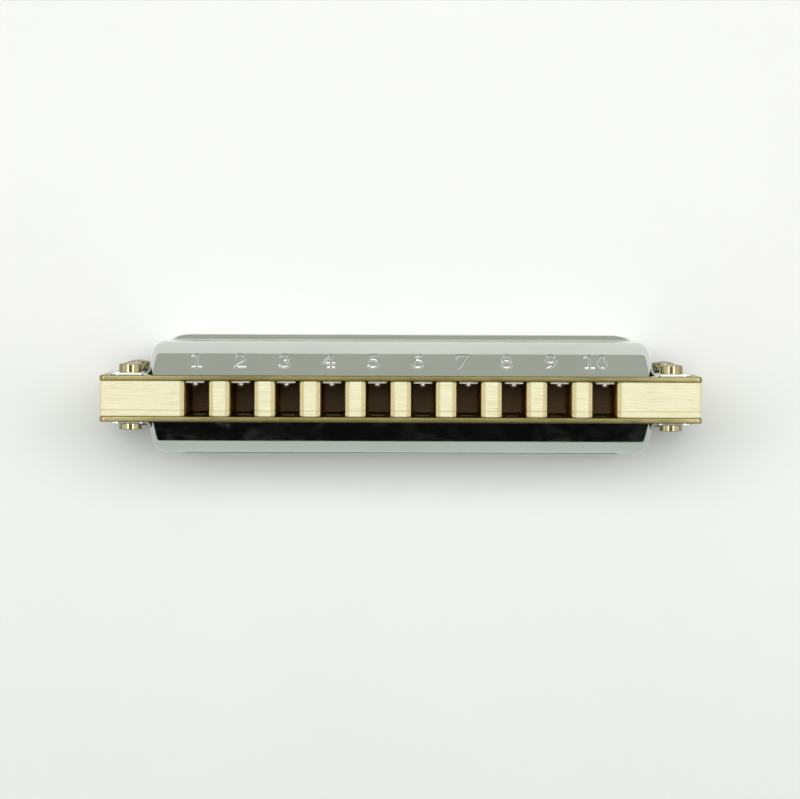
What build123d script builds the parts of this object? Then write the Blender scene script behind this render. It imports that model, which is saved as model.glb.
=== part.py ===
"""A ten-hole diatonic harmonica, as the separate pieces it comes apart into on a bench.

It stands on its rear edges with its mouth holes facing up. All lengths are in millimetres.

    +X   along the instrument, from hole 1 (low notes) to hole 10 (high notes)
    +Y   from the draw side (lower cover) to the blow side (upper cover)
    +Z   out of the mouth holes; z = 0 is the plane of the rear edges

Two words are used for places: depth is measured from the mouth face towards the rear,
and height is measured from the instrument's middle plane outwards, on either side.
"""

from build123d import *
import math
import os

# ---------------------------------------------------------------- driving dimensions

HOLES = 10
HOLE_PITCH = 7.5            # hole centre to hole centre
COMB_LENGTH = 99.6
COMB_DEPTH = 26.0           # mouth face to rear edge
COMB_THICKNESS = 5.9
COMB_CORNER = 0.8           # rounding of the four upright corners
PLATE_THICKNESS = 0.9
PLATE_EDGE = 0.25           # rounding along the plate edge that the lips touch
COVER_THICKNESS = 0.35

CHAMBER_WIDTH = 4.15
MOUTH_WIDTH = 5.55          # the chamber's mouth, between the tapered tooth tips
MOUTH_TAPER_DEPTH = 0.7
CHAMBER_DEPTH_LOW = 20.4    # chamber of hole 1
CHAMBER_DEPTH_HIGH = 16.4   # chamber of hole 10
CHAMBER_CORNER = 0.5

REED_PITCH = 7.553          # a little wider than the hole pitch
REED_ROW_SHIFT = -0.12
ROOT_WIDTH = 3.2            # the riveted end of a reed
ROOT_LENGTH = 3.3
ROOT_THICKNESS = 0.36
ROOT_CORNER = 0.25
ROOT_STEP = 0.3             # the tongue starts this far inside the root
TONGUE_THICKNESS = 0.25     # the free end of a reed, which swings
TONGUE_WIDTH_LOW = 2.3
TONGUE_WIDTH_HIGH = 1.9
BLOW_ROOT_DEPTH = 1.7       # front edge of the blow reeds' roots
BLOW_TONGUE_LOW = 14.6
BLOW_TONGUE_HIGH = 9.0
DRAW_TIP_DEPTH = 6.2        # free ends of the draw reeds
DRAW_TONGUE_LOW = 13.6
DRAW_TONGUE_HIGH = 8.6
SLOT_SIDE_CLEARANCE = 0.07
SLOT_TIP_CLEARANCE = 0.14
SLOT_ROOT_OVERRUN = 0.12    # the slot starts this far under the root
TIP_GAP = 0.35              # how far a reed's free end stands off its plate at rest

RIVET_SHANK = 0.5           # radii, from here to the end of the fasteners
RIVET_HEAD = 0.62
RIVET_HEAD_HEIGHT = 0.7

BOLT_SHANK = 1.0
BOLT_HEAD = 1.9
BOLT_HEAD_HEIGHT = 1.4
BOLT_DOME = 0.35
NUT_RADIUS = 1.9
NUT_HEIGHT = 1.0
NUT_DOME = 0.25
BOLT_X = 44.95              # bolt axes, either side of the middle
BOLT_DEPTHS = (4.2, 22.2)
BOLT_PASSAGE = 1.06         # hole in the comb
DRIVER_SLOT_WIDTH = 0.55
DRIVER_SLOT_DEPTH = 0.6

PLATE_SCREW_SHANK = 0.6
PLATE_SCREW_HEAD = 1.25
PLATE_SCREW_HEAD_HEIGHT = 0.6
PLATE_SCREW_BITE = 2.2      # length in the comb
PLATE_SCREW_SLOT_WIDTH = 0.35
PLATE_SCREW_SLOT_DEPTH = 0.3
FRONT_SCREW_DEPTH = 8.0
REAR_SCREW_DEPTH = 24.3

# The cover's outer levels: height, half length, depth of the front edge, corner radius in plan.
COVER_SHELL = (
    (3.85, 42.1, 3.6, 1.2),
    (7.4, 41.5, 6.75, 1.2),
    (8.7, 41.1, 8.5, 1.4),
    (9.3, 40.2, 10.2, 1.6),
)
COVER_LIP = (               # the flared lip along the open back, rising off the flat top
    (9.1, 39.9, 24.12, 0.6),
    (9.8, 39.0, 24.75, 0.5),
    (10.3, 36.6, 25.2, 0.4),
)
COVER_FRONT_INSET = 0.16    # with a drop of one thickness, these keep the walls even
COVER_END_INSET = 0.27
TAB_END_X = 48.3
TAB_DEPTHS = (2.0, 24.3)
TAB_CORNER = 1.4
TAB_BEND = 0.9
TAB_BEND_DEPTHS = (5.0, 24.3)
CORNER_NOTCH_RADIUS = 1.15
CORNER_NOTCH_HEIGHT = 0.8
VENT_DEPTHS = (9.0, 20.0)
VENT_HEIGHTS = (5.3, 7.7)

# ---------------------------------------------------------------- worked-out dimensions

HALF_LENGTH = COMB_LENGTH / 2
INNER = COMB_THICKNESS / 2                  # height of the plates' chamber faces
OUTER = INNER + PLATE_THICKNESS             # height of the plates' outer faces
BLOW, DRAW = 1, -1                          # the two sides, as signs along Y
CUT_PAST = 2.0                              # how far cutters run past what they cut


def along_row(low, high, hole):
    """A size that changes evenly from hole 1 to hole 10."""
    return low + (high - low) * (hole - 1) / (HOLES - 1)


def hole_x(hole):
    return (hole - (HOLES + 1) / 2) * HOLE_PITCH


def reed_x(hole):
    return (hole - (HOLES + 1) / 2) * REED_PITCH + REED_ROW_SHIFT


def wall_x(hole):
    """The middle of the comb's wall between this hole and the next."""
    return hole_x(hole) + HOLE_PITCH / 2


def level(height):
    """A sketch plane across the instrument at that height: its x is X, its y is depth."""
    return Plane(origin=(0, height, COMB_DEPTH), x_dir=(1, 0, 0), z_dir=(0, 1, 0))


def side_view(x):
    """A sketch plane square to X at that x: its x is depth, its y is height."""
    return Plane(origin=(x, 0, COMB_DEPTH), x_dir=(0, 0, -1), z_dir=(1, 0, 0))


def at(x, depth, height):
    """The place for a part drawn along +Z, turned so that it points away from the middle plane."""
    turn = -90 if height >= 0 else 90
    return Pos(x, height, COMB_DEPTH - depth) * Rot(turn, 0, 0)


def drilled(x, depth, radius):
    """A drill right through the instrument, along Y."""
    reach = 2 * (OUTER + BOLT_HEAD_HEIGHT + CUT_PAST)
    return Pos(x, 0, COMB_DEPTH - depth) * Rot(90, 0, 0) * Cylinder(radius, reach)


def bolt_places():
    return [(side * BOLT_X, depth) for side in (-1, 1) for depth in BOLT_DEPTHS]


def plate_screw_places():
    front = [(wall_x(hole), FRONT_SCREW_DEPTH) for hole in (1, 3, 5, 7, 9)]
    rear = [(wall_x(hole), REAR_SCREW_DEPTH) for hole in (2, 4, 6, 8)]
    return front + rear


# ---------------------------------------------------------------- comb


def slab_outline():
    """The plan of the comb and the plates: a long rectangle with rounded corners."""
    return Pos(0, COMB_DEPTH / 2) * RectangleRounded(COMB_LENGTH, COMB_DEPTH, COMB_CORNER)


def chamber_outline(hole):
    """The plan of one chamber: a flared mouth, straight walls and a squared-off end."""
    depth = along_row(CHAMBER_DEPTH_LOW, CHAMBER_DEPTH_HIGH, hole)
    half, mouth = CHAMBER_WIDTH / 2, MOUTH_WIDTH / 2
    flare = (mouth - half) / MOUTH_TAPER_DEPTH
    outside = mouth + flare * CUT_PAST
    outline = make_face(
        Polyline(
            (-outside, -CUT_PAST),
            (-half, MOUTH_TAPER_DEPTH),
            (-half, depth),
            (half, depth),
            (half, MOUTH_TAPER_DEPTH),
            (outside, -CUT_PAST),
            close=True,
        )
    )
    back_corners = outline.vertices().sort_by(Axis.Y)[-2:]
    return Pos(hole_x(hole), 0) * fillet(back_corners, CHAMBER_CORNER)


def make_comb():
    plan = slab_outline()
    for hole in range(1, HOLES + 1):
        plan -= chamber_outline(hole)
    comb = extrude(level(-INNER) * plan, COMB_THICKNESS)
    for x, depth in bolt_places():
        comb -= drilled(x, depth, BOLT_PASSAGE)
    for x, depth in plate_screw_places():
        for side in (BLOW, DRAW):
            pilot = Cylinder(PLATE_SCREW_SHANK, PLATE_SCREW_BITE, align=(Align.CENTER, Align.CENTER, Align.MAX))
            comb -= at(x, depth, side * INNER) * pilot
    return comb


# ---------------------------------------------------------------- reeds


class Reed:
    """One reed's places. side is BLOW or DRAW; towards is +1 if the tongue points to the rear."""

    def __init__(self, side, hole):
        self.side, self.hole, self.x = side, hole, reed_x(hole)
        self.width = along_row(TONGUE_WIDTH_LOW, TONGUE_WIDTH_HIGH, hole)
        if side == BLOW:
            self.length = along_row(BLOW_TONGUE_LOW, BLOW_TONGUE_HIGH, hole)
            self.towards = 1
            self.bend_depth = BLOW_ROOT_DEPTH + ROOT_LENGTH
            self.face, self.away = side * INNER, -side
        else:
            self.length = along_row(DRAW_TONGUE_LOW, DRAW_TONGUE_HIGH, hole)
            self.towards = -1
            self.bend_depth = DRAW_TIP_DEPTH + self.length
            self.face, self.away = side * OUTER, side
        self.rivet_depth = self.bend_depth - self.towards * ROOT_LENGTH / 2

    def name(self):
        return f"{'blow' if self.side == BLOW else 'draw'}_reed_{self.hole}"

    def slot(self):
        """The plan of the plate's slot that the tongue swings through."""
        start = -SLOT_ROOT_OVERRUN
        end = self.length + SLOT_TIP_CLEARANCE
        middle = self.bend_depth + self.towards * (start + end) / 2
        return Pos(self.x, middle) * Rectangle(self.width + 2 * SLOT_SIDE_CLEARANCE, end - start)

    def solid(self):
        """One strip: a riveted root, and a thinner tongue that stands off the plate at its tip."""
        plan = Pos(self.x, self.rivet_depth) * RectangleRounded(ROOT_WIDTH, ROOT_LENGTH, ROOT_CORNER)
        plan -= Pos(self.x, self.rivet_depth) * Circle(RIVET_SHANK)
        root = extrude(level(self.face) * plan, self.away * ROOT_THICKNESS)
        start = self.bend_depth - self.towards * ROOT_STEP
        tip = self.bend_depth + self.towards * self.length
        near, far = self.face, self.face + self.away * TIP_GAP
        thickness = self.away * TONGUE_THICKNESS
        profile = make_face(
            Polyline(
                (start, near),
                (self.bend_depth, near),
                (tip, far),
                (tip, far + thickness),
                (self.bend_depth, near + thickness),
                (start, near + thickness),
                close=True,
            )
        )
        return root + extrude(side_view(self.x) * profile, self.width / 2, both=True)

    def rivet(self):
        """A straight shank through plate and root, with a domed head on the root."""
        grip = PLATE_THICKNESS + ROOT_THICKNESS
        shank = Cylinder(RIVET_SHANK, grip, align=(Align.CENTER, Align.CENTER, Align.MAX))
        head = domed_disc(RIVET_HEAD, RIVET_HEAD_HEIGHT / 3, RIVET_HEAD_HEIGHT * 2 / 3)
        turn = -90 if self.away > 0 else 90
        seat = self.face + self.away * ROOT_THICKNESS
        return Pos(self.x, seat, COMB_DEPTH - self.rivet_depth) * Rot(turn, 0, 0) * (shank + head)


def domed_disc(radius, straight, dome):
    """A disc standing on z = 0 with straight sides and a ball-shaped top."""
    ball = (radius**2 + dome**2) / (2 * dome)
    half_turn = math.asin(radius / ball) / 2
    shoulder, top = (radius, straight), (0, straight + dome)
    between = (ball * math.sin(half_turn), top[1] - ball * (1 - math.cos(half_turn)))
    profile = make_face(
        Line((0, 0), (radius, 0))
        + Line((radius, 0), shoulder)
        + ThreePointArc(shoulder, between, top)
        + Line(top, (0, 0))
    )
    return revolve(Plane.XZ * profile, Axis.Z)


def reeds(side):
    return [Reed(side, hole) for hole in range(1, HOLES + 1)]


# ---------------------------------------------------------------- reed plates


def make_plate(side):
    plan = slab_outline()
    for reed in reeds(side):
        plan -= reed.slot()
        plan -= Pos(reed.x, reed.rivet_depth) * Circle(RIVET_SHANK)
    for x, depth in plate_screw_places():
        plan -= Pos(x, depth) * Circle(PLATE_SCREW_SHANK)
    for x, depth in bolt_places():
        plan -= Pos(x, depth) * Circle(BOLT_SHANK)
    plate = extrude(level(side * INNER) * plan, side * PLATE_THICKNESS)
    mouth_edges = plate.edges().filter_by(Axis.X).group_by(Axis.Z)[-1]
    return fillet(mouth_edges, PLATE_EDGE)


# ---------------------------------------------------------------- covers


def cover_section(height, half_length, front_depth, corner, rear_depth):
    outline = make_face(
        Polyline(
            (-half_length, front_depth),
            (half_length, front_depth),
            (half_length, rear_depth),
            (-half_length, rear_depth),
            close=True,
        )
    )
    front_corners = outline.vertices().sort_by(Axis.Y)[:2]
    return level(height) * fillet(front_corners, corner)


def cover_block(inside):
    """The cover as a full block: its outside, or one wall thickness smaller all round."""
    drop = COVER_THICKNESS if inside else 0.0
    end_inset = COVER_END_INSET if inside else 0.0
    front_inset = COVER_FRONT_INSET if inside else 0.0
    rear = COMB_DEPTH + (CUT_PAST if inside else 0.0)
    block = None
    for levels in (COVER_SHELL, COVER_LIP):
        sections = [
            cover_section(height - drop, half - end_inset, front + front_inset, corner, rear)
            for height, half, front, corner in levels
        ]
        raised = loft(sections, ruled=True)
        block = raised if block is None else block + raised
    return block


def make_tab(side):
    """The flat ear at one end, bent out from the foot of the end wall."""
    foot = COVER_SHELL[0][1]
    inner_x = foot - COVER_END_INSET
    width, length = TAB_END_X - inner_x, TAB_DEPTHS[1] - TAB_DEPTHS[0]
    plan = Pos(inner_x + width / 2, sum(TAB_DEPTHS) / 2) * Rectangle(width, length)
    outer_corners = plan.vertices().sort_by(Axis.X)[-2:]
    plan = fillet(outer_corners, TAB_CORNER)
    tab = extrude(level(OUTER) * plan, COVER_THICKNESS)
    return tab if side > 0 else mirror(tab, Plane.YZ)


def make_bend(side):
    """The inside curve between an ear and its end wall."""
    foot = COVER_SHELL[0][1] - COVER_END_INSET
    top = OUTER + COVER_THICKNESS + TAB_BEND
    reach = foot + COVER_THICKNESS + TAB_BEND
    profile = make_face(
        Line((foot, OUTER), (reach, OUTER))
        + Line((reach, OUTER), (reach, OUTER + COVER_THICKNESS))
        + ThreePointArc(
            (reach, OUTER + COVER_THICKNESS),
            (reach - TAB_BEND * math.sin(math.pi / 4), top - TAB_BEND * math.cos(math.pi / 4)),
            (reach - TAB_BEND, top),
        )
        + Line((reach - TAB_BEND, top), (foot, top))
        + Line((foot, top), (foot, OUTER))
    )
    start, end = (COMB_DEPTH - depth for depth in TAB_BEND_DEPTHS)
    bend = Pos(0, 0, end) * extrude(profile, start - end)
    return bend if side > 0 else mirror(bend, Plane.YZ)


def make_upper_cover():
    cover = cover_block(inside=False)
    for side in (-1, 1):
        cover += make_bend(side)
        cover += make_tab(side)
    cover -= cover_block(inside=True)
    vent_centre = (0, sum(VENT_HEIGHTS) / 2, COMB_DEPTH - sum(VENT_DEPTHS) / 2)
    vent = Box(2 * HALF_LENGTH, VENT_HEIGHTS[1] - VENT_HEIGHTS[0], VENT_DEPTHS[1] - VENT_DEPTHS[0])
    cover -= Pos(*vent_centre) * vent
    for side in (-1, 1):
        foot, front = COVER_SHELL[0][1], COVER_SHELL[0][2]
        notch = Cylinder(CORNER_NOTCH_RADIUS, 2 * CORNER_NOTCH_HEIGHT)
        cover -= at(side * foot, front + CORNER_NOTCH_RADIUS / 2, OUTER) * notch
    for x, depth in bolt_places():
        cover -= drilled(x, depth, BOLT_SHANK)
    return cover


# ---------------------------------------------------------------- bolts, nuts and screws


def slotted(disc, radius, top, width, depth):
    """Cuts a screwdriver slot across the top of a head."""
    return disc - Pos(0, 0, top - depth) * Box(
        2 * radius + CUT_PAST, width, 2 * depth, align=(Align.CENTER, Align.CENTER, Align.MIN)
    )


def make_bolt(x, depth):
    seat = OUTER + COVER_THICKNESS
    head = domed_disc(BOLT_HEAD, BOLT_HEAD_HEIGHT, BOLT_DOME)
    head = slotted(head, BOLT_HEAD, BOLT_HEAD_HEIGHT + BOLT_DOME, DRIVER_SLOT_WIDTH, DRIVER_SLOT_DEPTH)
    reach = 2 * seat + NUT_HEIGHT / 2
    shank = Cylinder(BOLT_SHANK, reach, align=(Align.CENTER, Align.CENTER, Align.MAX))
    return at(x, depth, seat) * (head + shank)


def make_nut(x, depth):
    seat = -(OUTER + COVER_THICKNESS)
    nut = domed_disc(NUT_RADIUS, NUT_HEIGHT, NUT_DOME)
    nut = slotted(nut, NUT_RADIUS, NUT_HEIGHT + NUT_DOME, DRIVER_SLOT_WIDTH, DRIVER_SLOT_DEPTH)
    nut -= Cylinder(BOLT_SHANK, NUT_HEIGHT / 2, align=(Align.CENTER, Align.CENTER, Align.MIN))
    return at(x, depth, seat) * nut


def make_plate_screw(side, x, depth):
    head = domed_disc(PLATE_SCREW_HEAD, PLATE_SCREW_HEAD_HEIGHT * 0.6, PLATE_SCREW_HEAD_HEIGHT * 0.4)
    head = slotted(
        head, PLATE_SCREW_HEAD, PLATE_SCREW_HEAD_HEIGHT, PLATE_SCREW_SLOT_WIDTH, PLATE_SCREW_SLOT_DEPTH
    )
    reach = PLATE_THICKNESS + PLATE_SCREW_BITE
    shank = Cylinder(PLATE_SCREW_SHANK, reach, align=(Align.CENTER, Align.CENTER, Align.MAX))
    return at(x, depth, side * OUTER) * (head + shank)


# ---------------------------------------------------------------- writing the parts


def write(name, *shapes):
    solids = [solid for shape in shapes for solid in shape.solids()]
    part = solids[0] if len(solids) == 1 else Compound(children=solids)
    part.label = name
    export_step(part, f"parts/{name}.step")


def main():
    os.makedirs("parts", exist_ok=True)
    write("comb", make_comb())
    write("blow_reed_plate", make_plate(BLOW))
    write("draw_reed_plate", make_plate(DRAW))
    upper_cover = make_upper_cover()
    write("upper_cover", upper_cover)
    write("lower_cover", mirror(upper_cover, Plane.XZ))
    for side in (BLOW, DRAW):
        for reed in reeds(side):
            write(reed.name(), reed.solid())
    write("blow_reed_rivets", *[reed.rivet() for reed in reeds(BLOW)])
    write("draw_reed_rivets", *[reed.rivet() for reed in reeds(DRAW)])
    write("cover_bolts", *[make_bolt(x, depth) for x, depth in bolt_places()])
    write("cover_nuts", *[make_nut(x, depth) for x, depth in bolt_places()])
    write("blow_plate_screws", *[make_plate_screw(BLOW, x, depth) for x, depth in plate_screw_places()])
    write("draw_plate_screws", *[make_plate_screw(DRAW, x, depth) for x, depth in plate_screw_places()])


main()
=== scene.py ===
"""Looks of a ten-hole harmonica that stands on its rear edges, built around its CAD frame.

Lengths are in millimetres until a mesh is made, in the CAD row's frame: +X along the
instrument from the low notes to the high ones, +Y out of the upper cover, +Z out of the
mouth holes. Depth is measured down from the mouth face, height outwards from the middle
plane. A sign named side is +1 on the upper, blow side and -1 on the lower, draw side.
"""

import math

import bmesh
import bpy
import numpy as np
from mathutils import Matrix, Vector
from mathutils.geometry import tessellate_polygon


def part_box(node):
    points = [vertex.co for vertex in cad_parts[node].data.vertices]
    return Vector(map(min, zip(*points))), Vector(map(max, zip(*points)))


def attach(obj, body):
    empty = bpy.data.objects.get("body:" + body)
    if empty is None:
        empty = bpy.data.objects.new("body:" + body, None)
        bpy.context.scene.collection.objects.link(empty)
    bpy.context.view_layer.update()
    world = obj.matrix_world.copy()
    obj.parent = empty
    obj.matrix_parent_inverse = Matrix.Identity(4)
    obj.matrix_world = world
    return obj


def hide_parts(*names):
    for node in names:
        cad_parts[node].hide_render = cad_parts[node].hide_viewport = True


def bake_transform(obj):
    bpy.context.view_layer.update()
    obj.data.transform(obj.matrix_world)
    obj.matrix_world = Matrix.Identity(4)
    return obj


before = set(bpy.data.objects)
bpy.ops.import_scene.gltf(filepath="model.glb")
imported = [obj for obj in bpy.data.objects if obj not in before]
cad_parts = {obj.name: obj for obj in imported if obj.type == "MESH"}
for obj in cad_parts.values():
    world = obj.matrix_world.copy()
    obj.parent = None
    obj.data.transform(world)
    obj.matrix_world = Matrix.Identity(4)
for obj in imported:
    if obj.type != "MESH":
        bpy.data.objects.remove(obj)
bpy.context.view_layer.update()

MM = 0.001
BLOW, DRAW = 1, -1
HOLES = 10
HOLE_PITCH = 7.5


def node_box(node):
    """A CAD node's lowest and highest corners, in millimetres."""
    low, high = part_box(node)
    return np.array(low) / MM, np.array(high) / MM


COMB_LOW, COMB_HIGH = node_box("comb")
TOP = COMB_HIGH[2]                              # the mouth face
HALF_LENGTH = COMB_HIGH[0]
DEPTH = TOP - COMB_LOW[2]
INNER = COMB_HIGH[1]                            # height of the plates' chamber faces
OUTER = node_box("blow_reed_plate")[1][1]       # height of the plates' outer faces
BODY = "body"
SHARP_ANGLE = 40.0                              # edges that turn by more degrees stay sharp


# ------------------------------------------------------------------ shapes


class Shape:
    """Points in millimetres as (x, height, depth), and the faces between them."""

    def __init__(self):
        self.points, self.faces = [], []

    def add(self, points, faces):
        start = len(self.points)
        self.points.extend(tuple(p) for p in points)
        self.faces.extend([start + i for i in face] for face in faces)

    def grid(self, rows, closed=False):
        """A skin over rows of points, all of one length; closed joins each row's ends."""
        count = len(rows[0])
        last = count if closed else count - 1
        faces = []
        for start in range(0, (len(rows) - 1) * count, count):
            for c in range(last):
                after = (c + 1) % count
                faces.append((start + c, start + after, start + count + after, start + count + c))
        self.add([p for row in rows for p in row], faces)

    def cap(self, ring):
        self.add(ring, [range(len(ring))])


def make_object(name, shape, side=BLOW, merge=0.0005):
    """One mesh object from a shape. side puts the heights above or below the middle plane,
    and points closer than merge, in millimetres, become one."""
    mesh = bpy.data.meshes.new(name)
    points = [(x * MM, side * height * MM, (TOP - depth) * MM) for x, height, depth in shape.points]
    mesh.from_pydata(points, [], shape.faces)
    obj = bpy.data.objects.new(name, mesh)
    bpy.context.scene.collection.objects.link(obj)
    tidy_mesh(mesh, merge * MM)
    return obj


def tidy_mesh(mesh, merge):
    """Joins points that meet, drops faces with no area and turns every face outwards."""
    bm = bmesh.new()
    bm.from_mesh(mesh)
    bmesh.ops.remove_doubles(bm, verts=bm.verts, dist=merge)
    bmesh.ops.dissolve_degenerate(bm, edges=bm.edges, dist=merge / 4)
    bmesh.ops.recalc_face_normals(bm, faces=bm.faces)
    bm.to_mesh(mesh)
    bm.free()


def finish_piece(obj, material, replaces, body=BODY, weighted=False):
    """Gives a piece its shading, finish and body, and hides the CAD nodes that it stands for."""
    mesh = obj.data
    mesh.materials.append(material)
    mesh.shade_smooth()
    mesh.set_sharp_from_angle(angle=math.radians(SHARP_ANGLE))
    if weighted:
        modifier = obj.modifiers.new("even_normals", "WEIGHTED_NORMAL")
        modifier.keep_sharp = True
        modifier.weight = 80
    if body is not None:
        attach(obj, body)
    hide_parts(*replaces)


def arc(centre, radius, start, end, steps):
    """Points on a circle in a plane, from one angle to another, in degrees."""
    angles = [math.radians(start + (end - start) * i / steps) for i in range(steps + 1)]
    return [(centre[0] + radius * math.cos(a), centre[1] + radius * math.sin(a)) for a in angles]


def rounded(corners, steps=6):
    """A closed outline with round corners, from (x, depth, radius) at each corner."""
    outline = []
    for i, (x, depth, radius) in enumerate(corners):
        here = Vector((x, depth))
        if radius <= 0:
            outline.append(tuple(here))
            continue
        back = (Vector(corners[i - 1][:2]) - here).normalized()
        on = (Vector(corners[(i + 1) % len(corners)][:2]) - here).normalized()
        half = back.angle(on) / 2
        centre = here + (back + on).normalized() * radius / math.sin(half)
        first = here + back * radius / math.tan(half) - centre
        last = here + on * radius / math.tan(half) - centre
        sweep = first.angle_signed(last)
        for step in range(steps + 1):
            turn = -sweep * step / steps
            c, s = math.cos(turn), math.sin(turn)
            outline.append((centre.x + first.x * c - first.y * s, centre.y + first.x * s + first.y * c))
    return outline


def turned(outline, clockwise):
    """The outline, listed clockwise or the other way round."""
    area = sum(
        a[0] * b[1] - b[0] * a[1] for a, b in zip(outline, outline[1:] + outline[:1])
    )
    return outline[::-1] if (area < 0) != clockwise else outline


def pushed(outline, distance):
    """The outline moved sideways, out of the material that lies on its left."""
    moved = []
    for i, (x, y) in enumerate(outline):
        before, after = outline[i - 1], outline[(i + 1) % len(outline)]
        a = Vector((x - before[0], y - before[1])).normalized()
        b = Vector((after[0] - x, after[1] - y)).normalized()
        out_a, out_b = Vector((a.y, -a.x)), Vector((b.y, -b.x))
        out = (out_a + out_b).normalized()
        reach = distance / max(0.5, out.dot(out_a))
        moved.append((x + out.x * reach, y + out.y * reach))
    return moved


def slab(name, low, high, outer, outer_edge, holes=(), hole_edge=0.02, side=BLOW, steps=4):
    """A flat piece between two heights, with rounded edges, cut through by holes."""
    shape = Shape()
    loops = [(turned(outer, False), outer_edge)] + [(turned(hole, True), hole_edge) for hole in holes]
    caps = {low: [], high: []}
    for outline, edge in loops:
        rows = []
        for i in range(steps + 1):
            angle = math.pi / 2 * i / steps
            inset = edge * (1 - math.sin(angle))
            rows.append((low + edge * (1 - math.cos(angle)), pushed(outline, -inset)))
        rows += [(low + high - height, ring) for height, ring in reversed(rows)]
        shape.grid([[(x, height, depth) for x, depth in ring] for height, ring in rows], closed=True)
        caps[low].append(rows[0][1])
        caps[high].append(rows[-1][1])
    for height, rings in caps.items():
        flat = [[Vector((x, depth, 0)) for x, depth in ring] for ring in rings]
        points = [(v.x, height, v.y) for ring in flat for v in ring]
        shape.add(points, tessellate_polygon(flat))
    return make_object(name, shape, side)


def lathe(profile, x, depth, segments=64):
    """A shape turned about an axis square to the plates, from (radius, height) points."""
    shape = Shape()
    rows = []
    for radius, height in profile:
        ring = []
        for i in range(segments):
            angle = 2 * math.pi * i / segments
            ring.append((x + radius * math.cos(angle), height, depth + radius * math.sin(angle)))
        rows.append(ring)
    shape.grid(rows, closed=True)
    shape.cap(rows[0])
    shape.cap(rows[-1])
    return shape


def carved(obj, knife):
    """Cuts the knife's shape out of an object and takes the knife away."""
    cut = obj.modifiers.new("cut", "BOOLEAN")
    cut.object, cut.operation, cut.solver = knife, "DIFFERENCE", "EXACT"
    graph = bpy.context.evaluated_depsgraph_get()
    mesh = bpy.data.meshes.new_from_object(obj.evaluated_get(graph))
    obj.modifiers.clear()
    obj.data = mesh
    bpy.data.objects.remove(knife)


def dome_profile(radius, straight, dome, seat, edge=0.08, steps=10):
    """(radius, height) points of a head: a rounded foot, a straight side and a shallow dome."""
    ball = (radius**2 + dome**2) / (2 * dome)
    points = [(radius - edge, seat)] + [
        (radius - edge + edge * math.sin(a), seat + edge - edge * math.cos(a))
        for a in (math.pi / 6, math.pi / 3, math.pi / 2)
    ]
    shoulder = math.asin((radius - edge) / ball)
    top = seat + straight + dome
    rim = top - ball * (1 - math.cos(shoulder))
    hold = 0.04                 # rings that keep the side's shading straight
    points += [(radius, seat + edge + hold), (radius, rim - edge - hold), (radius, rim - edge)]
    points += [
        (radius - edge + edge * math.cos(a), rim - edge + edge * math.sin(a))
        for a in (math.pi / 8, math.pi / 4, math.pi * 3 / 8)
    ]
    for i in range(steps + 1):
        angle = shoulder * (1 - i / steps)
        points.append((max(0.01, ball * math.sin(angle)), top - ball * (1 - math.cos(angle))))
    return points


# ------------------------------------------------------------------ materials


class Finish:
    """A node material under construction: a Principled shader and the nodes that feed it."""

    def __init__(self, name, **sockets):
        self.material = bpy.data.materials.new(name)
        self.material.use_nodes = True
        self.tree = self.material.node_tree
        self.shader = self.tree.nodes["Principled BSDF"]
        for socket, value in sockets.items():
            self.shader.inputs[socket.replace("_", " ")].default_value = value
        self.place = self.node("ShaderNodeTexCoord").outputs["Object"]

    def node(self, kind, **settings):
        made = self.tree.nodes.new(kind)
        for setting, value in settings.items():
            setattr(made, setting, value)
        return made

    def link(self, out, into):
        self.tree.links.new(out, into)
        return out

    def stretched(self, x=1.0, y=1.0, z=1.0):
        """The place on the object, in millimetres, scaled along each axis."""
        mapping = self.node("ShaderNodeMapping")
        mapping.inputs["Scale"].default_value = (x / MM, y / MM, z / MM)
        self.link(self.place, mapping.inputs["Vector"])
        return mapping.outputs["Vector"]

    def noise(self, place, scale=1.0, detail=3.0, rough=0.55, warp=0.0):
        made = self.node("ShaderNodeTexNoise")
        made.inputs["Scale"].default_value = scale
        made.inputs["Detail"].default_value = detail
        made.inputs["Roughness"].default_value = rough
        made.inputs["Distortion"].default_value = warp
        self.link(place, made.inputs["Vector"])
        return made.outputs["Fac"]

    def ramp(self, value, *stops):
        """A value or colour at each stop: (position, number or (red, green, blue))."""
        made = self.node("ShaderNodeValToRGB")
        elements = made.color_ramp.elements
        while len(elements) < len(stops):
            elements.new(0.5)
        for element, (position, colour) in zip(elements, stops):
            rgb = (colour,) * 3 if isinstance(colour, (int, float)) else colour
            element.position, element.color = position, (*rgb, 1.0)
        self.link(value, made.inputs["Fac"])
        return made.outputs["Color"]

    def mix(self, share, first, second, mode="MIX"):
        made = self.node("ShaderNodeMix", data_type="RGBA", blend_type=mode)
        for value, socket in ((share, 0), (first, 6), (second, 7)):
            if hasattr(value, "is_linked"):
                self.link(value, made.inputs[socket])
            elif isinstance(value, (int, float)):
                made.inputs[socket].default_value = value
            else:
                made.inputs[socket].default_value = (*value, 1.0)
        return made.outputs[2]

    def maths(self, operation, first, second=0.0, clamp=False):
        made = self.node("ShaderNodeMath", operation=operation, use_clamp=clamp)
        for value, socket in ((first, 0), (second, 1)):
            if hasattr(value, "is_linked"):
                self.link(value, made.inputs[socket])
            else:
                made.inputs[socket].default_value = value
        return made.outputs[0]

    def axis(self, which):
        """One coordinate of the place on the object, in millimetres."""
        split = self.node("ShaderNodeSeparateXYZ")
        self.link(self.place, split.inputs["Vector"])
        return self.maths("DIVIDE", split.outputs[which], MM)

    def bump(self, height, strength, distance, onto=None):
        made = self.node("ShaderNodeBump")
        made.inputs["Strength"].default_value = strength
        made.inputs["Distance"].default_value = distance * MM
        self.link(height, made.inputs["Height"])
        if onto is not None:
            self.link(onto, made.inputs["Normal"])
        return made.outputs["Normal"]

    def set(self, socket, value):
        self.link(value, self.shader.inputs[socket])


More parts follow.
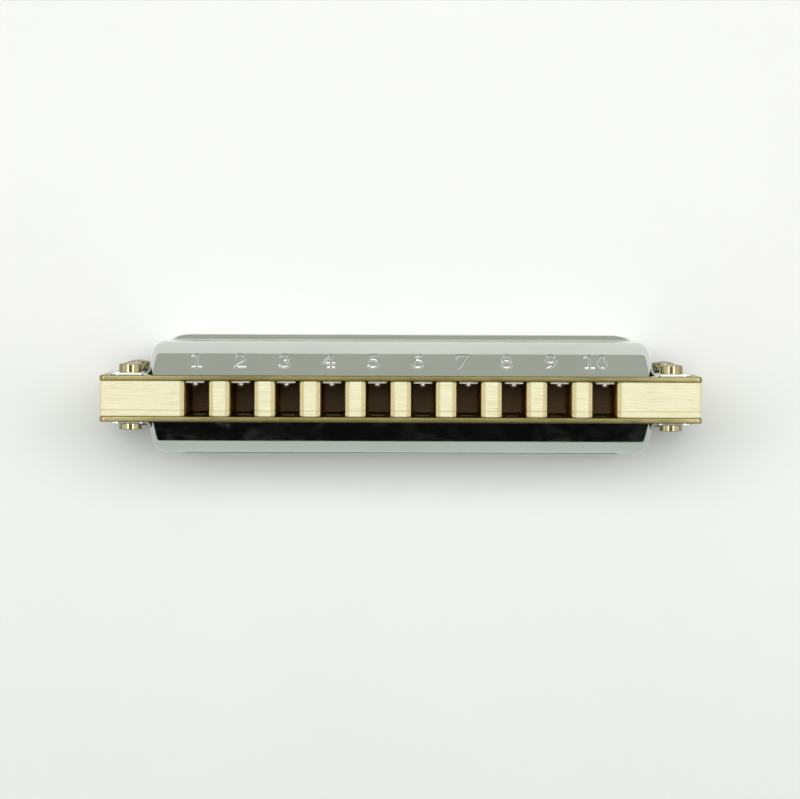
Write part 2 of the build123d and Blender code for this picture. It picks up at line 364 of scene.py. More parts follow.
def chrome_finish(name):
    """Polished nickel-chrome over pressed sheet: faint waviness, wiping scratches, smudges."""
    f = Finish(name, Metallic=1.0)
    cloud = f.noise(f.stretched(0.05, 0.05, 0.05), 1.0, 2.0)
    f.set("Base Color", f.ramp(cloud, (0.3, (0.605, 0.63, 0.595)), (0.7, (0.65, 0.675, 0.64))))
    smudge = f.noise(f.stretched(0.22, 0.22, 0.22), 1.0, 5.0, 0.6, 0.6)
    wiped = f.noise(f.stretched(0.5, 6.0, 6.0), 1.0, 2.0)
    haze = f.maths("MULTIPLY", f.ramp(smudge, (0.45, 0.0), (0.75, 1.0)), 0.10)
    lines = f.maths("MULTIPLY", f.ramp(wiped, (0.55, 0.0), (0.8, 1.0)), 0.05)
    f.set("Roughness", f.maths("ADD", f.maths("ADD", haze, lines), 0.075))
    sheet = f.noise(f.stretched(0.12, 0.3, 0.3), 1.0, 1.0)
    scratch = f.noise(f.stretched(1.2, 30.0, 30.0), 1.0, 1.0)
    waves = f.bump(sheet, 0.25, 0.05)
    f.set("Normal", f.bump(scratch, 0.06, 0.004, waves))
    return f.material


def plate_finish(name):
    """Rolled brass sheet: lines along the plate, painted lighter towards the ends, with painted shade and
    a painted highlight in the chambers and the slots.
    """
    f = Finish(name, Metallic=1.0)
    patch = f.noise(f.stretched(0.12, 0.25, 0.25), 1.0, 4.0, 0.6)
    base = f.ramp(patch, (0.3, (0.40, 0.36, 0.15)), (0.55, (0.52, 0.47, 0.21)), (0.8, (0.62, 0.56, 0.29)))
    lines = f.noise(f.stretched(0.3, 14.0, 14.0), 1.0, 3.0)
    base = f.mix(1.0, base, f.ramp(lines, (0.3, 0.72), (0.7, 1.0)), "MULTIPLY")
    from_middle = f.maths("DIVIDE", f.maths("ABSOLUTE", f.axis("X")), HALF_LENGTH)
    # Painted light: the plates are coloured darker through the middle and lighter towards the ends.
    painted_light_to_ends = f.ramp(
        from_middle,
        (0.3, (0.35, 0.33, 0.27)),
        (0.65, (0.33, 0.315, 0.29)),
        (1.0, (0.64, 0.615, 0.62)),
    )
    base = f.mix(1.0, base, painted_light_to_ends, "MULTIPLY")
    # From the chamber face through the plate: a darkened face, then a slot's dark wall with one bright
    # band, and a clean outer face. The darkened face and wall are painted shade, and the bright band is a
    # painted highlight.
    height = f.maths("ABSOLUTE", f.axis("Y"))
    through = f.maths("DIVIDE", f.maths("SUBTRACT", height, INNER), OUTER - INNER)
    painted_slot_light = f.ramp(
        through,
        (0.0, 0.3),
        (0.025, 0.05),
        (0.25, 0.05),
        (0.33, 0.55),
        (0.47, 0.55),
        (0.56, 0.05),
        (0.97, 0.05),
        (0.99, 1.0),
    )
    # The painted shade and highlight hold behind the mouth and short of the ends, where the chambers and
    # the slots are.
    depth = f.maths("DIVIDE", f.maths("SUBTRACT", TOP, f.axis("Z")), DEPTH)
    inside = f.ramp(depth, (0.10, 0.0), (0.16, 1.0))
    inside = f.mix(f.ramp(from_middle, (0.80, 1.0), (0.82, 0.0)), (0.0, 0.0, 0.0), inside)
    f.set("Base Color", f.mix(inside, base, f.mix(1.0, base, painted_slot_light, "MULTIPLY")))
    f.set("Roughness", f.maths("ADD", f.maths("MULTIPLY", lines, 0.18), 0.2))
    f.set("Normal", f.bump(lines, 0.25, 0.01))
    return f.material


def reed_finish(name):
    """Bright drawn brass strip, with the cross marks left by tuning."""
    f = Finish(name)
    lengthwise = f.noise(f.stretched(18.0, 18.0, 0.4), 1.0, 2.0)
    brass = f.ramp(lengthwise, (0.3, (0.72, 0.60, 0.33)), (0.7, (0.88, 0.77, 0.50)))
    # The blow reeds' sheared ends, which face the mouth, are coloured pale and matt: a painted highlight.
    span = 4.0                  # the depth that the ramp covers
    depth = f.maths("DIVIDE", f.maths("SUBTRACT", TOP, f.axis("Z")), span)
    painted_pale_ends = f.ramp(depth, (0.445, 1.0), (0.475, 0.0))
    f.set("Base Color", f.mix(painted_pale_ends, brass, (0.98, 0.94, 0.83)))
    f.set("Metallic", f.maths("SUBTRACT", 1.0, painted_pale_ends))
    tuning = f.noise(f.stretched(0.8, 0.8, 12.0), 1.0, 3.0)
    rough = f.maths("ADD", f.maths("MULTIPLY", tuning, 0.2), 0.16)
    f.set("Roughness", f.maths("ADD", rough, f.maths("MULTIPLY", painted_pale_ends, 0.25)))
    f.set("Normal", f.bump(f.maths("ADD", lengthwise, tuning), 0.2, 0.006))
    return f.material


def turned_finish(name, dark, mid, light, rough):
    """Lathe-turned brass that has aged: fine rings round the axis and darker patches."""
    f = Finish(name, Metallic=1.0)
    patch = f.noise(f.stretched(0.9, 0.9, 0.9), 1.0, 4.0, 0.6)
    rings = f.noise(f.stretched(0.5, 26.0, 0.5), 1.0, 2.0)
    base = f.ramp(patch, (0.3, dark), (0.55, mid), (0.8, light))
    f.set("Base Color", f.mix(1.0, base, f.ramp(rings, (0.3, 0.78), (0.7, 1.0)), "MULTIPLY"))
    f.set("Roughness", f.maths("ADD", f.maths("MULTIPLY", rings, 0.08), rough))
    f.set("Normal", f.bump(rings, 0.12, 0.004))
    return f.material


def bamboo_finish(name):
    """Sealed laminated bamboo: fibres along the comb, bundles as fine dashes, glue lines."""
    f = Finish(name, IOR=1.47)
    wander = f.noise(f.stretched(0.04, 0.3, 0.3), 1.0, 2.0)
    fibre = f.noise(f.stretched(0.10, 5.0, 3.2), 1.0, 4.0, 0.62, 0.4)
    strand = f.noise(f.stretched(0.28, 13.0, 9.0), 1.0, 2.0)
    base = f.ramp(fibre, (0.25, (0.60, 0.54, 0.32)), (0.5, (0.69, 0.65, 0.43)), (0.75, (0.75, 0.72, 0.51)))
    dashes = f.ramp(strand, (0.30, (0.72, 0.62, 0.40)), (0.42, (1.0, 1.0, 1.0)))
    wood = f.mix(1.0, base, dashes, "MULTIPLY")
    glue_height = 1.75          # below the middle plane
    height = f.maths("ADD", f.axis("Y"), f.maths("MULTIPLY", wander, 0.35))
    glue = f.maths("ABSOLUTE", f.maths("ADD", height, glue_height))
    line = f.ramp(glue, (0.02, (0.80, 0.72, 0.50)), (0.14, (1.0, 1.0, 1.0)))
    wood = f.mix(1.0, wood, line, "MULTIPLY")
    # The chambers' walls and chamfers are tinted warmer, and darker and redder further in: painted shade
    # of the deep chambers.
    across = f.maths("MINIMUM", f.maths("ABSOLUTE", f.axis("X")), HOLES * HOLE_PITCH / 2)
    from_tooth = f.maths("PINGPONG", across, HOLE_PITCH / 2)
    cut = f.ramp(f.maths("DIVIDE", from_tooth, HOLE_PITCH), (0.120, 0.0), (0.136, 1.0))
    depth = f.maths("DIVIDE", f.maths("SUBTRACT", TOP, f.axis("Z")), DEPTH)
    painted_chamber_shade = f.ramp(
        depth,
        (0.0, (1.0, 0.96, 0.82)),
        (0.026, (1.0, 0.93, 0.74)),
        (0.04, (0.72, 0.50, 0.30)),
        (0.2, (0.62, 0.35, 0.10)),
        (0.4, (0.44, 0.235, 0.035)),
    )
    f.set("Base Color", f.mix(cut, wood, f.mix(1.0, wood, painted_chamber_shade, "MULTIPLY")))
    f.set("Roughness", f.maths("ADD", f.maths("MULTIPLY", fibre, 0.2), 0.34))
    f.set("Normal", f.bump(f.maths("ADD", fibre, strand), 0.25, 0.02))
    return f.material


# ------------------------------------------------------------------ comb and reed plates

CORNER = 0.8                # the comb's and the plates' upright corners
CHAMBER_WIDTH = 4.15
MOUTH_WIDTH = 5.55
MOUTH_TAPER = 0.7
CHAMBER_DEPTHS = (20.4, 16.4)
SLOT_CLEARANCE = 0.07


def along_row(low, high, hole):
    """A size that changes evenly from hole 1 to hole 10."""
    return low + (high - low) * (hole - 1) / (HOLES - 1)


def hole_x(hole):
    return (hole - (HOLES + 1) / 2) * HOLE_PITCH


def make_comb(wood):
    outline = [(-HALF_LENGTH, DEPTH, CORNER), (-HALF_LENGTH, 0, CORNER)]
    for hole in range(1, HOLES + 1):
        x, deep = hole_x(hole), along_row(*CHAMBER_DEPTHS, hole)
        mouth, wall = MOUTH_WIDTH / 2, CHAMBER_WIDTH / 2
        outline += [
            (x - mouth, 0, 0.12),
            (x - wall, MOUTH_TAPER, 0.15),
            (x - wall, deep, 0.5),
            (x + wall, deep, 0.5),
            (x + wall, MOUTH_TAPER, 0.15),
            (x + mouth, 0, 0.12),
        ]
    outline += [(HALF_LENGTH, 0, CORNER), (HALF_LENGTH, DEPTH, CORNER)]
    comb = slab("comb_bamboo", -INNER, INNER, rounded(outline), 0.26)
    finish_piece(comb, wood, ["comb"], weighted=True)


def rectangle(x_low, x_high, depth_low, depth_high, radius=0.0, steps=3):
    corners = ((x_low, depth_low), (x_high, depth_low), (x_high, depth_high), (x_low, depth_high))
    return rounded([(x, depth, radius) for x, depth in corners], steps)


class Reed:
    """One reed's places, read from its CAD node."""

    ROOT_LENGTH = 3.3
    ROOT_THICKNESS = 0.36
    TONGUE_THICKNESS = 0.25
    TIP_GAP = 0.35
    TONGUE_WIDTHS = (2.3, 1.9)
    BEND_SHARE = 0.55           # how much of the tongue takes up the bend

    def __init__(self, side, hole):
        self.side = side
        self.node = f"{'blow' if side == BLOW else 'draw'}_reed_{hole}"
        low, high = node_box(self.node)
        self.x = (low[0] + high[0]) / 2
        self.root_width = high[0] - low[0]
        self.width = along_row(*self.TONGUE_WIDTHS, hole)
        self.shallow, self.deep = TOP - high[2], TOP - low[2]
        self.length = self.deep - self.shallow - self.ROOT_LENGTH
        if side == BLOW:
            self.root_end, self.tip, self.towards = self.shallow, self.deep, 1
            self.face, self.away = INNER, -1
        else:
            self.root_end, self.tip, self.towards = self.deep, self.shallow, -1
            self.face, self.away = OUTER, 1
        self.bend = self.root_end + self.towards * self.ROOT_LENGTH
        self.rivet = self.root_end + self.towards * self.ROOT_LENGTH / 2

    def slot(self):
        half = self.width / 2 + SLOT_CLEARANCE
        ends = sorted((self.bend - self.towards * 0.12, self.tip + self.towards * 0.14))
        return rectangle(self.x - half, self.x + half, *ends)

    def section(self, depth, width, near, far, edge=0.05):
        """A ring of points round the strip at one depth, between two heights off the plate."""
        half = width / 2
        corners = [(-half, near), (half, near), (half, far), (-half, far)]
        ring = rounded([(x, h, edge) for x, h in corners], 2)
        return [(self.x + x, self.face + self.away * h, depth) for x, h in ring]

    def stations(self):
        """(distance from the root's end, width, near height, far height) along the strip."""
        full, thick, thin = self.root_width, self.ROOT_THICKNESS, self.TONGUE_THICKNESS
        corner, shoulder = 0.25, 0.3
        rows = [(0.0, full - 2 * corner, 0.04, thick - 0.04)]
        for angle in (30, 60, 90):
            a = math.radians(angle)
            rows.append((corner * (1 - math.cos(a)), full - 2 * corner * (1 - math.sin(a)), 0.0, thick))
        neck = self.ROOT_LENGTH - shoulder
        rows.append((neck, full, 0.0, thick))
        for step in (1, 2, 3):
            share = math.sin(math.pi / 2 * step / 3)
            width = full + (self.width - full) * share
            rows.append((neck + shoulder * step / 3, width, 0.0, thick + (thin - thick) * step / 3))
        for step in range(1, 31):
            share = step / 30
            scoop = 0.05 * math.sin(math.pi * share)
            near = self.TIP_GAP * share
            rows.append((self.ROOT_LENGTH + self.length * share, self.width, near, near + thin - scoop))
        return rows

    def build(self, brass):
        shape = Shape()
        rows = [
            self.section(self.root_end + self.towards * along, width, near, far)
            for along, width, near, far in self.stations()
        ]
        shape.grid(rows, closed=True)
        shape.cap(rows[0])
        shape.cap(rows[-1])
        strip = make_object(f"{self.node}_strip", shape, self.side)
        finish_piece(strip, brass, [self.node], body=None, weighted=True)
        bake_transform(strip)


def reeds(side):
    return [Reed(side, hole) for hole in range(1, HOLES + 1)]


def make_plate(side, brass):
    node = f"{'blow' if side == BLOW else 'draw'}_reed_plate"
    corners = [(-HALF_LENGTH, DEPTH), (-HALF_LENGTH, 0), (HALF_LENGTH, 0), (HALF_LENGTH, DEPTH)]
    outline = rounded([(x, depth, CORNER) for x, depth in corners], 8)
    slots = [reed.slot() for reed in reeds(side)]
    plate = slab(f"{node}_brass", INNER, OUTER, outline, 0.2, slots, side=side)
    finish_piece(plate, brass, [node], weighted=True)


def make_rivets(side, metal):
    word = "blow" if side == BLOW else "draw"
    shape = Shape()
    shank = 0.5                 # its radius
    radius, straight, dome = 0.66, 0.26, 0.55
    head = dome_profile(radius, straight, dome, 0.0, edge=0.04)
    for reed in reeds(side):
        seat = reed.face + reed.away * (reed.ROOT_THICKNESS - 0.01)
        tail = reed.face - reed.away * (OUTER - INNER + 0.03)
        profile = [(shank - 0.1, tail), (shank, tail + reed.away * 0.04), (shank, seat)]
        profile += [(radius, seat + reed.away * height) for radius, height in head]
        rivet = lathe(profile, reed.x, reed.rivet, 40)
        shape.add(rivet.points, rivet.faces)
    rivets = make_object(f"{word}_reed_rivets_domed", shape, side, merge=0.0001)
    finish_piece(rivets, metal, [f"{word}_reed_rivets"])


# ------------------------------------------------------------------ covers

SHEET = 0.35
# The cover's outer levels: height, half length, depth of the front edge, corner radius, rounding.
LEVELS = (
    (OUTER, 42.1, 3.6, 1.2, 0.0),
    (7.4, 41.5, 6.75, 1.2, 0.45),
    (8.7, 41.1, 8.5, 1.4, 0.9),
    (9.3, 40.2, 10.2, 1.6, 0.5),
    (9.3, 39.6, 24.3, 0.6, 0.2),
    (9.8, 39.0, 24.75, 0.5, 0.0),
    (10.1, 38.0, 25.02, 0.4, 0.0),
    (10.3, 36.6, 25.2, 0.4, 0.15),
    (10.3, 36.4, 25.6, 0.2, 0.0),
)
FRONT_INSET, END_INSET = 0.16, 0.27
SIDE_STEPS, CORNER_STEPS = 44, 14
FINE, COARSE = 0.056, 0.6   # spacing of the mesh round the stamped numbers, and elsewhere
TAB_END = node_box("upper_cover")[1][0]
TAB_DEPTHS = (TOP - node_box("upper_cover")[1][2], 24.3)
TAB_CORNER = 1.4
CURL_RADIUS = 0.9
CURL_START = 5.0
CURL_TOP = OUTER + SHEET + CURL_RADIUS
VENT_HEIGHTS = (5.3, 7.7)
VENT_DEPTHS = (9.0, 20.0)
FOOT_RISE = (8, 50)         # degrees round a front corner over which the foot leaves the plate


def blend_levels(a, b, share):
    return tuple(p + (q - p) * share for p, q in zip(a, b))


def smooth_levels(levels, steps):
    """The levels with every crease but the first and last rounded, as (height, half, front, corner)."""
    out = [levels[0][:4]]
    for before, here, after in zip(levels, levels[1:], levels[2:]):
        cut = here[4]
        if cut <= 0:
            out.append(here[:4])
            continue
        back = math.hypot(before[0] - here[0], before[2] - here[2])
        on = math.hypot(after[0] - here[0], after[2] - here[2])
        start = blend_levels(here[:4], before[:4], min(0.5, cut / back))
        end = blend_levels(here[:4], after[:4], min(0.5, cut / on))
        for step in range(steps + 1):
            t = step / steps
            first = blend_levels(start, here[:4], t)
            second = blend_levels(here[:4], end, t)
            out.append(blend_levels(first, second, t))
    out.append(levels[-1][:4])
    return out


def inner_levels():
    """The sheet's inner side: one thickness lower, and drawn in at the front and the ends."""
    moved = [
        (height - SHEET, half - END_INSET, front + FRONT_INSET, corner, cut)
        for height, half, front, corner, cut in LEVELS
    ]
    share = (OUTER - moved[0][0]) / (moved[1][0] - moved[0][0])
    moved[0] = (*blend_levels(moved[0][:4], moved[1][:4], share), 0.0)
    return moved


def graded(low, high, fine_ranges):
    """Positions from low to high, close together inside the fine ranges."""
    count = math.ceil((high - low) / COARSE)
    positions = [low + (high - low) * i / count for i in range(count)]
    for start, end in fine_ranges:
        positions = [p for p in positions if not start - FINE < p < end + FINE]
        count = math.ceil((end - start) / FINE)
        positions += [start + (end - start) * i / count for i in range(count + 1)]
    return sorted(p for p in positions if p < high - FINE / 2)


def columns(numbered):
    """Where each column of the cover's skin runs: (zone, share along the zone)."""
    side = [i / SIDE_STEPS for i in range(SIDE_STEPS)]
    corner = [i / CORNER_STEPS for i in range(CORNER_STEPS)]
    half = LEVELS[0][1] - LEVELS[0][3]
    ranges = number_ranges() if numbered else []
    found = [("left", s) for s in side] + [("left_corner", s) for s in corner]
    found += [("front", (x + half) / (2 * half)) for x in graded(-half, half, ranges)]
    found += [("right_corner", s) for s in corner] + [("right", s) for s in side] + [("right", 1.0)]
    return found


def plan_point(level, zone, share):
    """The (x, depth) of a column on a level."""
    height, half, front, corner = level
    if zone in ("left", "right"):
        sign = -1 if zone == "left" else 1
        along = share if zone == "left" else 1 - share
        return sign * half, DEPTH + (front + corner - DEPTH) * along
    if zone == "front":
        return -(half - corner) + 2 * (half - corner) * share, front
    sign = -1 if zone == "left_corner" else 1
    turn = math.pi / 2 * (share if zone == "left_corner" else 1 - share)
    return sign * (half - corner + corner * math.cos(turn)), front + corner - corner * math.sin(turn)


def foot_height(zone, share):
    """Where a column starts: on the plate, or above the curl of the tab at the ends."""
    if zone == "front":
        return OUTER
    if zone in ("left", "right"):
        return CURL_TOP
    turned_by = 90 * (1 - share if zone == "left_corner" else share)
    start, end = FOOT_RISE
    t = min(1.0, max(0.0, (turned_by - start) / (end - start)))
    return OUTER + (CURL_TOP - OUTER) * t * t * (3 - 2 * t)


def slope_shares(numbered):
    """How far up the front slope each row of the skin lies, from 0 to 1."""
    length = math.hypot(LEVELS[1][0] - LEVELS[0][0], LEVELS[1][2] - LEVELS[0][2]) - LEVELS[1][4]
    margin = STROKE + FINE
    ranges = [(DIGIT_FOOT - margin, DIGIT_FOOT + DIGIT_HEIGHT + margin)] if numbered else []
    return [position / length for position in graded(0, length, ranges)]


def skin(levels, numbered, shares, steps):
    """Rows of (x, height, depth) from the cover's foot to the top of its lip."""
    smooth = smooth_levels(levels, steps)
    foot, crease = smooth[0], smooth[1]
    places = columns(numbered)
    rows = []
    for share_up in shares:
        row = []
        for zone, share in places:
            start = max(0.0, (foot_height(zone, share) - foot[0]) / (crease[0] - foot[0]))
            level = blend_levels(foot, crease, start + (1 - start) * share_up)
            x, depth = plan_point(level, zone, share)
            row.append((x, level[0], depth))
        rows.append(row)
    for level in smooth[1:]:
        rows.append([(x, level[0], depth) for x, depth in (plan_point(level, *place) for place in places)])
    return rows


def curl_section(wall_x, inside):
    """(x, height) points of one end's sheet: up from the tab, round the curl to the wall."""
    radius = CURL_RADIUS + (SHEET if inside else 0.0)
    centre = (wall_x + CURL_RADIUS, CURL_TOP)
    return arc(centre, radius, 270, 180, 10)


def add_tab(shape, sign, wall_x):
    """The flat ear at one end and the curl that joins it to the end wall."""
    flat_start = wall_x + CURL_RADIUS
    outline = rounded(
        [
            (flat_start - 0.02, TAB_DEPTHS[0], 0.5),
            (TAB_END, TAB_DEPTHS[0], TAB_CORNER),
            (TAB_END, TAB_DEPTHS[1], TAB_CORNER),
            (flat_start - 0.02, TAB_DEPTHS[1], 0.1),
        ],
        8,
    )
    rows = []
    edge = 0.05
    loop = turned(outline, False)
    for i in range(4):
        angle = math.pi / 2 * i / 3
        inset = edge * (1 - math.sin(angle))
        rows.append((OUTER + edge * (1 - math.cos(angle)), pushed(loop, -inset)))
    rows += [(2 * OUTER + SHEET - height, ring) for height, ring in reversed(rows)]
    shape.grid([[(sign * x, height, depth) for x, depth in ring] for height, ring in rows], closed=True)
    for height, ring in (rows[0], rows[-1]):
        shape.cap([(sign * x, height, depth) for x, depth in ring])
    section = curl_section(wall_x, True) + curl_section(wall_x, False)[::-1]
    depths = [CURL_START + (TAB_DEPTHS[1] - CURL_START) * i / 24 for i in range(25)]
    rings = [[(sign * x, height, depth) for x, height in section] for depth in depths]
    shape.grid(rings, closed=True)
    shape.cap(rings[0])
    shape.cap(rings[-1])


def make_vents():
    """The knife for the long openings in both end walls."""
    low, high = VENT_HEIGHTS
    profile = rectangle(*VENT_DEPTHS, low, high, 1.0, 6)
    knife = Shape()
    rings = [[(x, height, depth) for depth, height in profile] for x in (-HALF_LENGTH, HALF_LENGTH)]
    knife.grid(rings, closed=True)
    for ring in rings:
        knife.cap(ring)
    return knife


def make_cover(side, chrome):
    """A pressed cover; only the upper one, on the blow side, has the hole numbers."""
    word = "upper" if side == BLOW else "lower"
    numbered = side == BLOW
    shares = slope_shares(numbered)
    outside = skin(LEVELS, numbered, shares, 5)
    inside = skin(inner_levels(), numbered, (0.0, 0.5), 2)
    if numbered:
        outside = stamped(outside)
    shape = Shape()
    for rows in (outside, inside):
        shape.grid(rows)
        shape.cap(rows[-1])
    shape.grid([outside[0], inside[0]])
    for end in (0, -1):
        edge_out, edge_in = [row[end] for row in outside], [row[end] for row in inside]
        shape.add(edge_out + edge_in[::-1], [range(len(edge_out) + len(edge_in))])
    shape.cap([outside[-1][0], outside[-1][-1], inside[-1][-1], inside[-1][0]])
    cover = make_object(f"{word}_cover_pressed", shape, side)
    carved(cover, make_object("vent_knife", make_vents(), side))
    tabs = Shape()
    wall_x = blend_levels(LEVELS[0], LEVELS[1], (CURL_TOP - OUTER) / (LEVELS[1][0] - OUTER))[1]
    for sign in (-1, 1):
        add_tab(tabs, sign, wall_x)
    join(cover, make_object("cover_tabs", tabs, side))
    finish_piece(cover, chrome, [f"{word}_cover"])


def join(obj, other):
    """Adds another object's mesh to this one and takes the other away."""
    bm = bmesh.new()
    bm.from_mesh(obj.data)
    bm.from_mesh(other.data)
    bm.to_mesh(obj.data)
    bm.free()
    bpy.data.objects.remove(other)


# ------------------------------------------------------------------ stamped hole numbers

DIGIT_HEIGHT = 2.70         # along the slope
DIGIT_WIDTH = 1.85
DIGIT_GAP = 0.5
DIGIT_FOOT = 1.68           # up the slope from the plate
DIGIT_PITCH = 7.40
DIGIT_SHIFT = -0.90
STROKE = 0.25               # half the width of a groove
STROKE_WALL = 0.16          # the width of its sloping side
STROKE_DEPTHS = (0.082, 0.072)  # at the foot and at the top of a number


def bow(cx, cy, rx, ry, start, end, steps=14):
    """A curved stroke: part of an ellipse, angles in degrees."""
    return [
        (
            cx + rx * math.cos(math.radians(start + (end - start) * i / steps)),
            cy + ry * math.sin(math.radians(start + (end - start) * i / steps)),
        )
        for i in range(steps + 1)
    ]


# Strokes in a cell one wide and one high.
GLYPHS = {
    "0": [bow(0.5, 0.5, 0.36, 0.5, 0, 360, 30)],
    "1": [[(0.18, 0.86), (0.62, 1.0), (0.62, 0.0)], [(0.24, 0.0), (1.02, 0.0)]],
    "2": [bow(0.5, 0.70, 0.42, 0.30, 165, -35) + [(0.04, 0.0), (0.98, 0.0)]],
    "3": [bow(0.48, 0.75, 0.38, 0.25, 150, -70), bow(0.48, 0.27, 0.46, 0.27, 85, -155)],
    "4": [[(0.70, 0.0), (0.70, 1.0), (0.0, 0.34), (1.0, 0.34)], [(0.42, 0.0), (0.98, 0.0)]],
    "5": [[(0.88, 1.0), (0.22, 1.0), (0.16, 0.56)] + bow(0.46, 0.31, 0.46, 0.31, 120, -150)],
    "6": [[(0.82, 1.0), (0.36, 0.80), (0.10, 0.46), (0.05, 0.30)], bow(0.5, 0.29, 0.44, 0.29, 0, 360, 26)],
    "7": [[(0.05, 0.80), (0.05, 1.0), (0.95, 1.0), (0.22, 0.0)]],
    "8": [bow(0.5, 0.76, 0.35, 0.24, 0, 360, 24), bow(0.5, 0.27, 0.45, 0.27, 0, 360, 26)],
    "9": [bow(0.5, 0.71, 0.44, 0.29, 0, 360, 26), [(0.95, 0.70), (0.88, 0.46), (0.62, 0.14), (0.2, 0.0)]],
}


def number_ends(hole):
    """The left and right ends of a hole's number."""
    digits = len(str(hole))
    centre = (hole - (HOLES + 1) / 2) * DIGIT_PITCH + DIGIT_SHIFT
    half = (digits * DIGIT_WIDTH + (digits - 1) * DIGIT_GAP) / 2
    return centre - half, centre + half


def number_ranges():
    margin = STROKE + FINE
    return [(left - margin, right + margin) for left, right in map(number_ends, range(1, HOLES + 1))]


def number_segments(hole):
    """The straight pieces of a hole's number, as (x, up the slope) pairs of ends."""
    segments = []
    for place, digit in enumerate(str(hole)):
        left = number_ends(hole)[0] + place * (DIGIT_WIDTH + DIGIT_GAP)
        for stroke in GLYPHS[digit]:
            points = [(left + x * DIGIT_WIDTH, DIGIT_FOOT + y * DIGIT_HEIGHT) for x, y in stroke]
            segments += zip(points, points[1:])
    return segments


def stamped(rows):
    """The rows with the hole numbers pressed into the front slope."""
    points = np.array(rows)
    x = points[:, :, 0]
    foot, crease = np.array(LEVELS[0][:3]), np.array(LEVELS[1][:3])
    slope = np.array([crease[0] - foot[0], crease[2] - foot[2]])
    slope /= np.linalg.norm(slope)
    up = (points[:, :, 1] - foot[0]) * slope[0] + (points[:, :, 2] - foot[2]) * slope[1]
    pressed = np.zeros_like(x)
    for hole in range(1, HOLES + 1):
        for (ax, ay), (bx, by) in number_segments(hole):
            dx, dy = bx - ax, by - ay
            t = np.clip(((x - ax) * dx + (up - ay) * dy) / (dx * dx + dy * dy), 0, 1)
            distance = np.hypot(x - ax - t * dx, up - ay - t * dy)
            share = np.clip((STROKE - distance) / STROKE_WALL, 0, 1)
            pressed = np.maximum(pressed, share * share * (3 - 2 * share))
    inward = pressed * np.interp(up, (DIGIT_FOOT, DIGIT_FOOT + DIGIT_HEIGHT), STROKE_DEPTHS)
    points[:, :, 1] -= inward * slope[1]
    points[:, :, 2] += inward * slope[0]
    return points.tolist()


# ------------------------------------------------------------------ bolts, nuts and screws

BOLT_SLOT = (0.55, 0.6)     # a screwdriver slot's width and depth
SCREW_SLOT = (0.35, 0.3)
FRONT_SCREW_DEPTH = 8.0     # depths of the plate screws' two rows
REAR_SCREW_DEPTH = 24.3


def corner_places(node, radius):
    """The axes of four fasteners that stand at the corners of their node's box."""
    low, high = node_box(node)
    xs = (low[0] + radius, high[0] - radius)
    depths = (TOP - high[2] + radius, TOP - low[2] - radius)
    return [(x, depth) for x in xs for depth in depths]


def slotted_heads(name, places, radius, straight, dome, seat, slot, side, edge=0.1):
    """Turned heads with a screwdriver slot across each, as one object."""
    heads = Shape()
    for x, depth in places:
        head = lathe(dome_profile(radius, straight, dome, seat, edge), x, depth, 96)
        heads.add(head.points, head.faces)
    obj = make_object(name, heads, side, merge=0.0001)
    width, deep = slot
    top = seat + straight + dome
    cutter = Shape()
    for x, depth in places:
        xs, ds = (x - radius - 1, x + radius + 1), (depth - width / 2, depth + width / 2)
        ring = [(xs[0], ds[0]), (xs[1], ds[0]), (xs[1], ds[1]), (xs[0], ds[1])]
        low = [(px, top - deep, pd) for px, pd in ring]
        high = [(px, top + 1, pd) for px, pd in ring]
        cutter.grid([low, high], closed=True)
        cutter.cap(low)
        cutter.cap(high)
    carved(obj, make_object("slot_knife", cutter, side))
    return obj


def make_fasteners(antique, screw_brass):
    seat = OUTER + SHEET
    for name, radius, straight, dome, side in (
        ("cover_bolts", 1.9, 1.4, 0.35, BLOW),
        ("cover_nuts", 1.9, 1.0, 0.25, DRAW),
    ):
        places = corner_places(name, radius)
        heads = slotted_heads(f"{name}_turned", places, radius, straight, dome, seat, BOLT_SLOT, side)
        finish_piece(heads, antique, [name], weighted=True)
    front = [(hole_x(hole) + HOLE_PITCH / 2, FRONT_SCREW_DEPTH) for hole in (1, 3, 5, 7, 9)]
    rear = [(hole_x(hole) + HOLE_PITCH / 2, REAR_SCREW_DEPTH) for hole in (2, 4, 6, 8)]
    radius, straight, dome = 1.25, 0.36, 0.24
    for side, word in ((BLOW, "blow"), (DRAW, "draw")):
        name = f"{word}_plate_screws"
        heads = slotted_heads(
            f"{name}_turned", front + rear, radius, straight, dome, OUTER, SCREW_SLOT, side, edge=0.06
        )
        finish_piece(heads, screw_brass, [name], weighted=True)


# ------------------------------------------------------------------ the studio


def set_stage():
    floor_half = 1.6
    mesh = bpy.data.meshes.new("floor")
    corners = [(x * floor_half, y * floor_half, 0) for x, y in ((-1, -1), (1, -1), (1, 1), (-1, 1))]
    mesh.from_pydata(corners, [], [(0, 1, 2, 3)])
    floor = bpy.data.objects.new("floor", mesh)
    bpy.context.scene.collection.objects.link(floor)
    f = Finish("floor_paper")
    grain = f.noise(f.stretched(0.02, 0.02, 0.02), 1.0, 3.0)
    paper = f.ramp(grain, (0.3, (0.80, 0.81, 0.79)), (0.7, (0.82, 0.83, 0.81)))
    span = 140.0                # the part of the floor that the ramp covers, half on each side
    along = f.maths("ADD", f.maths("DIVIDE", f.axis("Y"), span), 0.5)
    # Painted shade: the floor is coloured darker and greener towards the draw side, -Y, than on the blow
    # side.
    painted_floor_shade = f.ramp(
        along,
        (0.05, (0.885, 0.90, 0.885)),
        (0.3, (0.915, 0.93, 0.915)),
        (0.57, (0.955, 0.945, 0.955)),
    )
    f.set("Base Color", f.mix(1.0, paper, painted_floor_shade, "MULTIPLY"))
    f.shader.inputs["Roughness"].default_value = 0.9
    floor.data.materials.append(f.material)


def area_light(name, place, target, width, length, power):
    data = bpy.data.lights.new(name, "AREA")
    data.shape = "RECTANGLE"
    data.size, data.size_y = width, length
    data.energy = power
    light = bpy.data.objects.new(name, data)
    light.location = place
    light.rotation_euler = (Vector(target) - Vector(place)).to_track_quat("-Z", "Y").to_euler()
    bpy.context.scene.collection.objects.link(light)


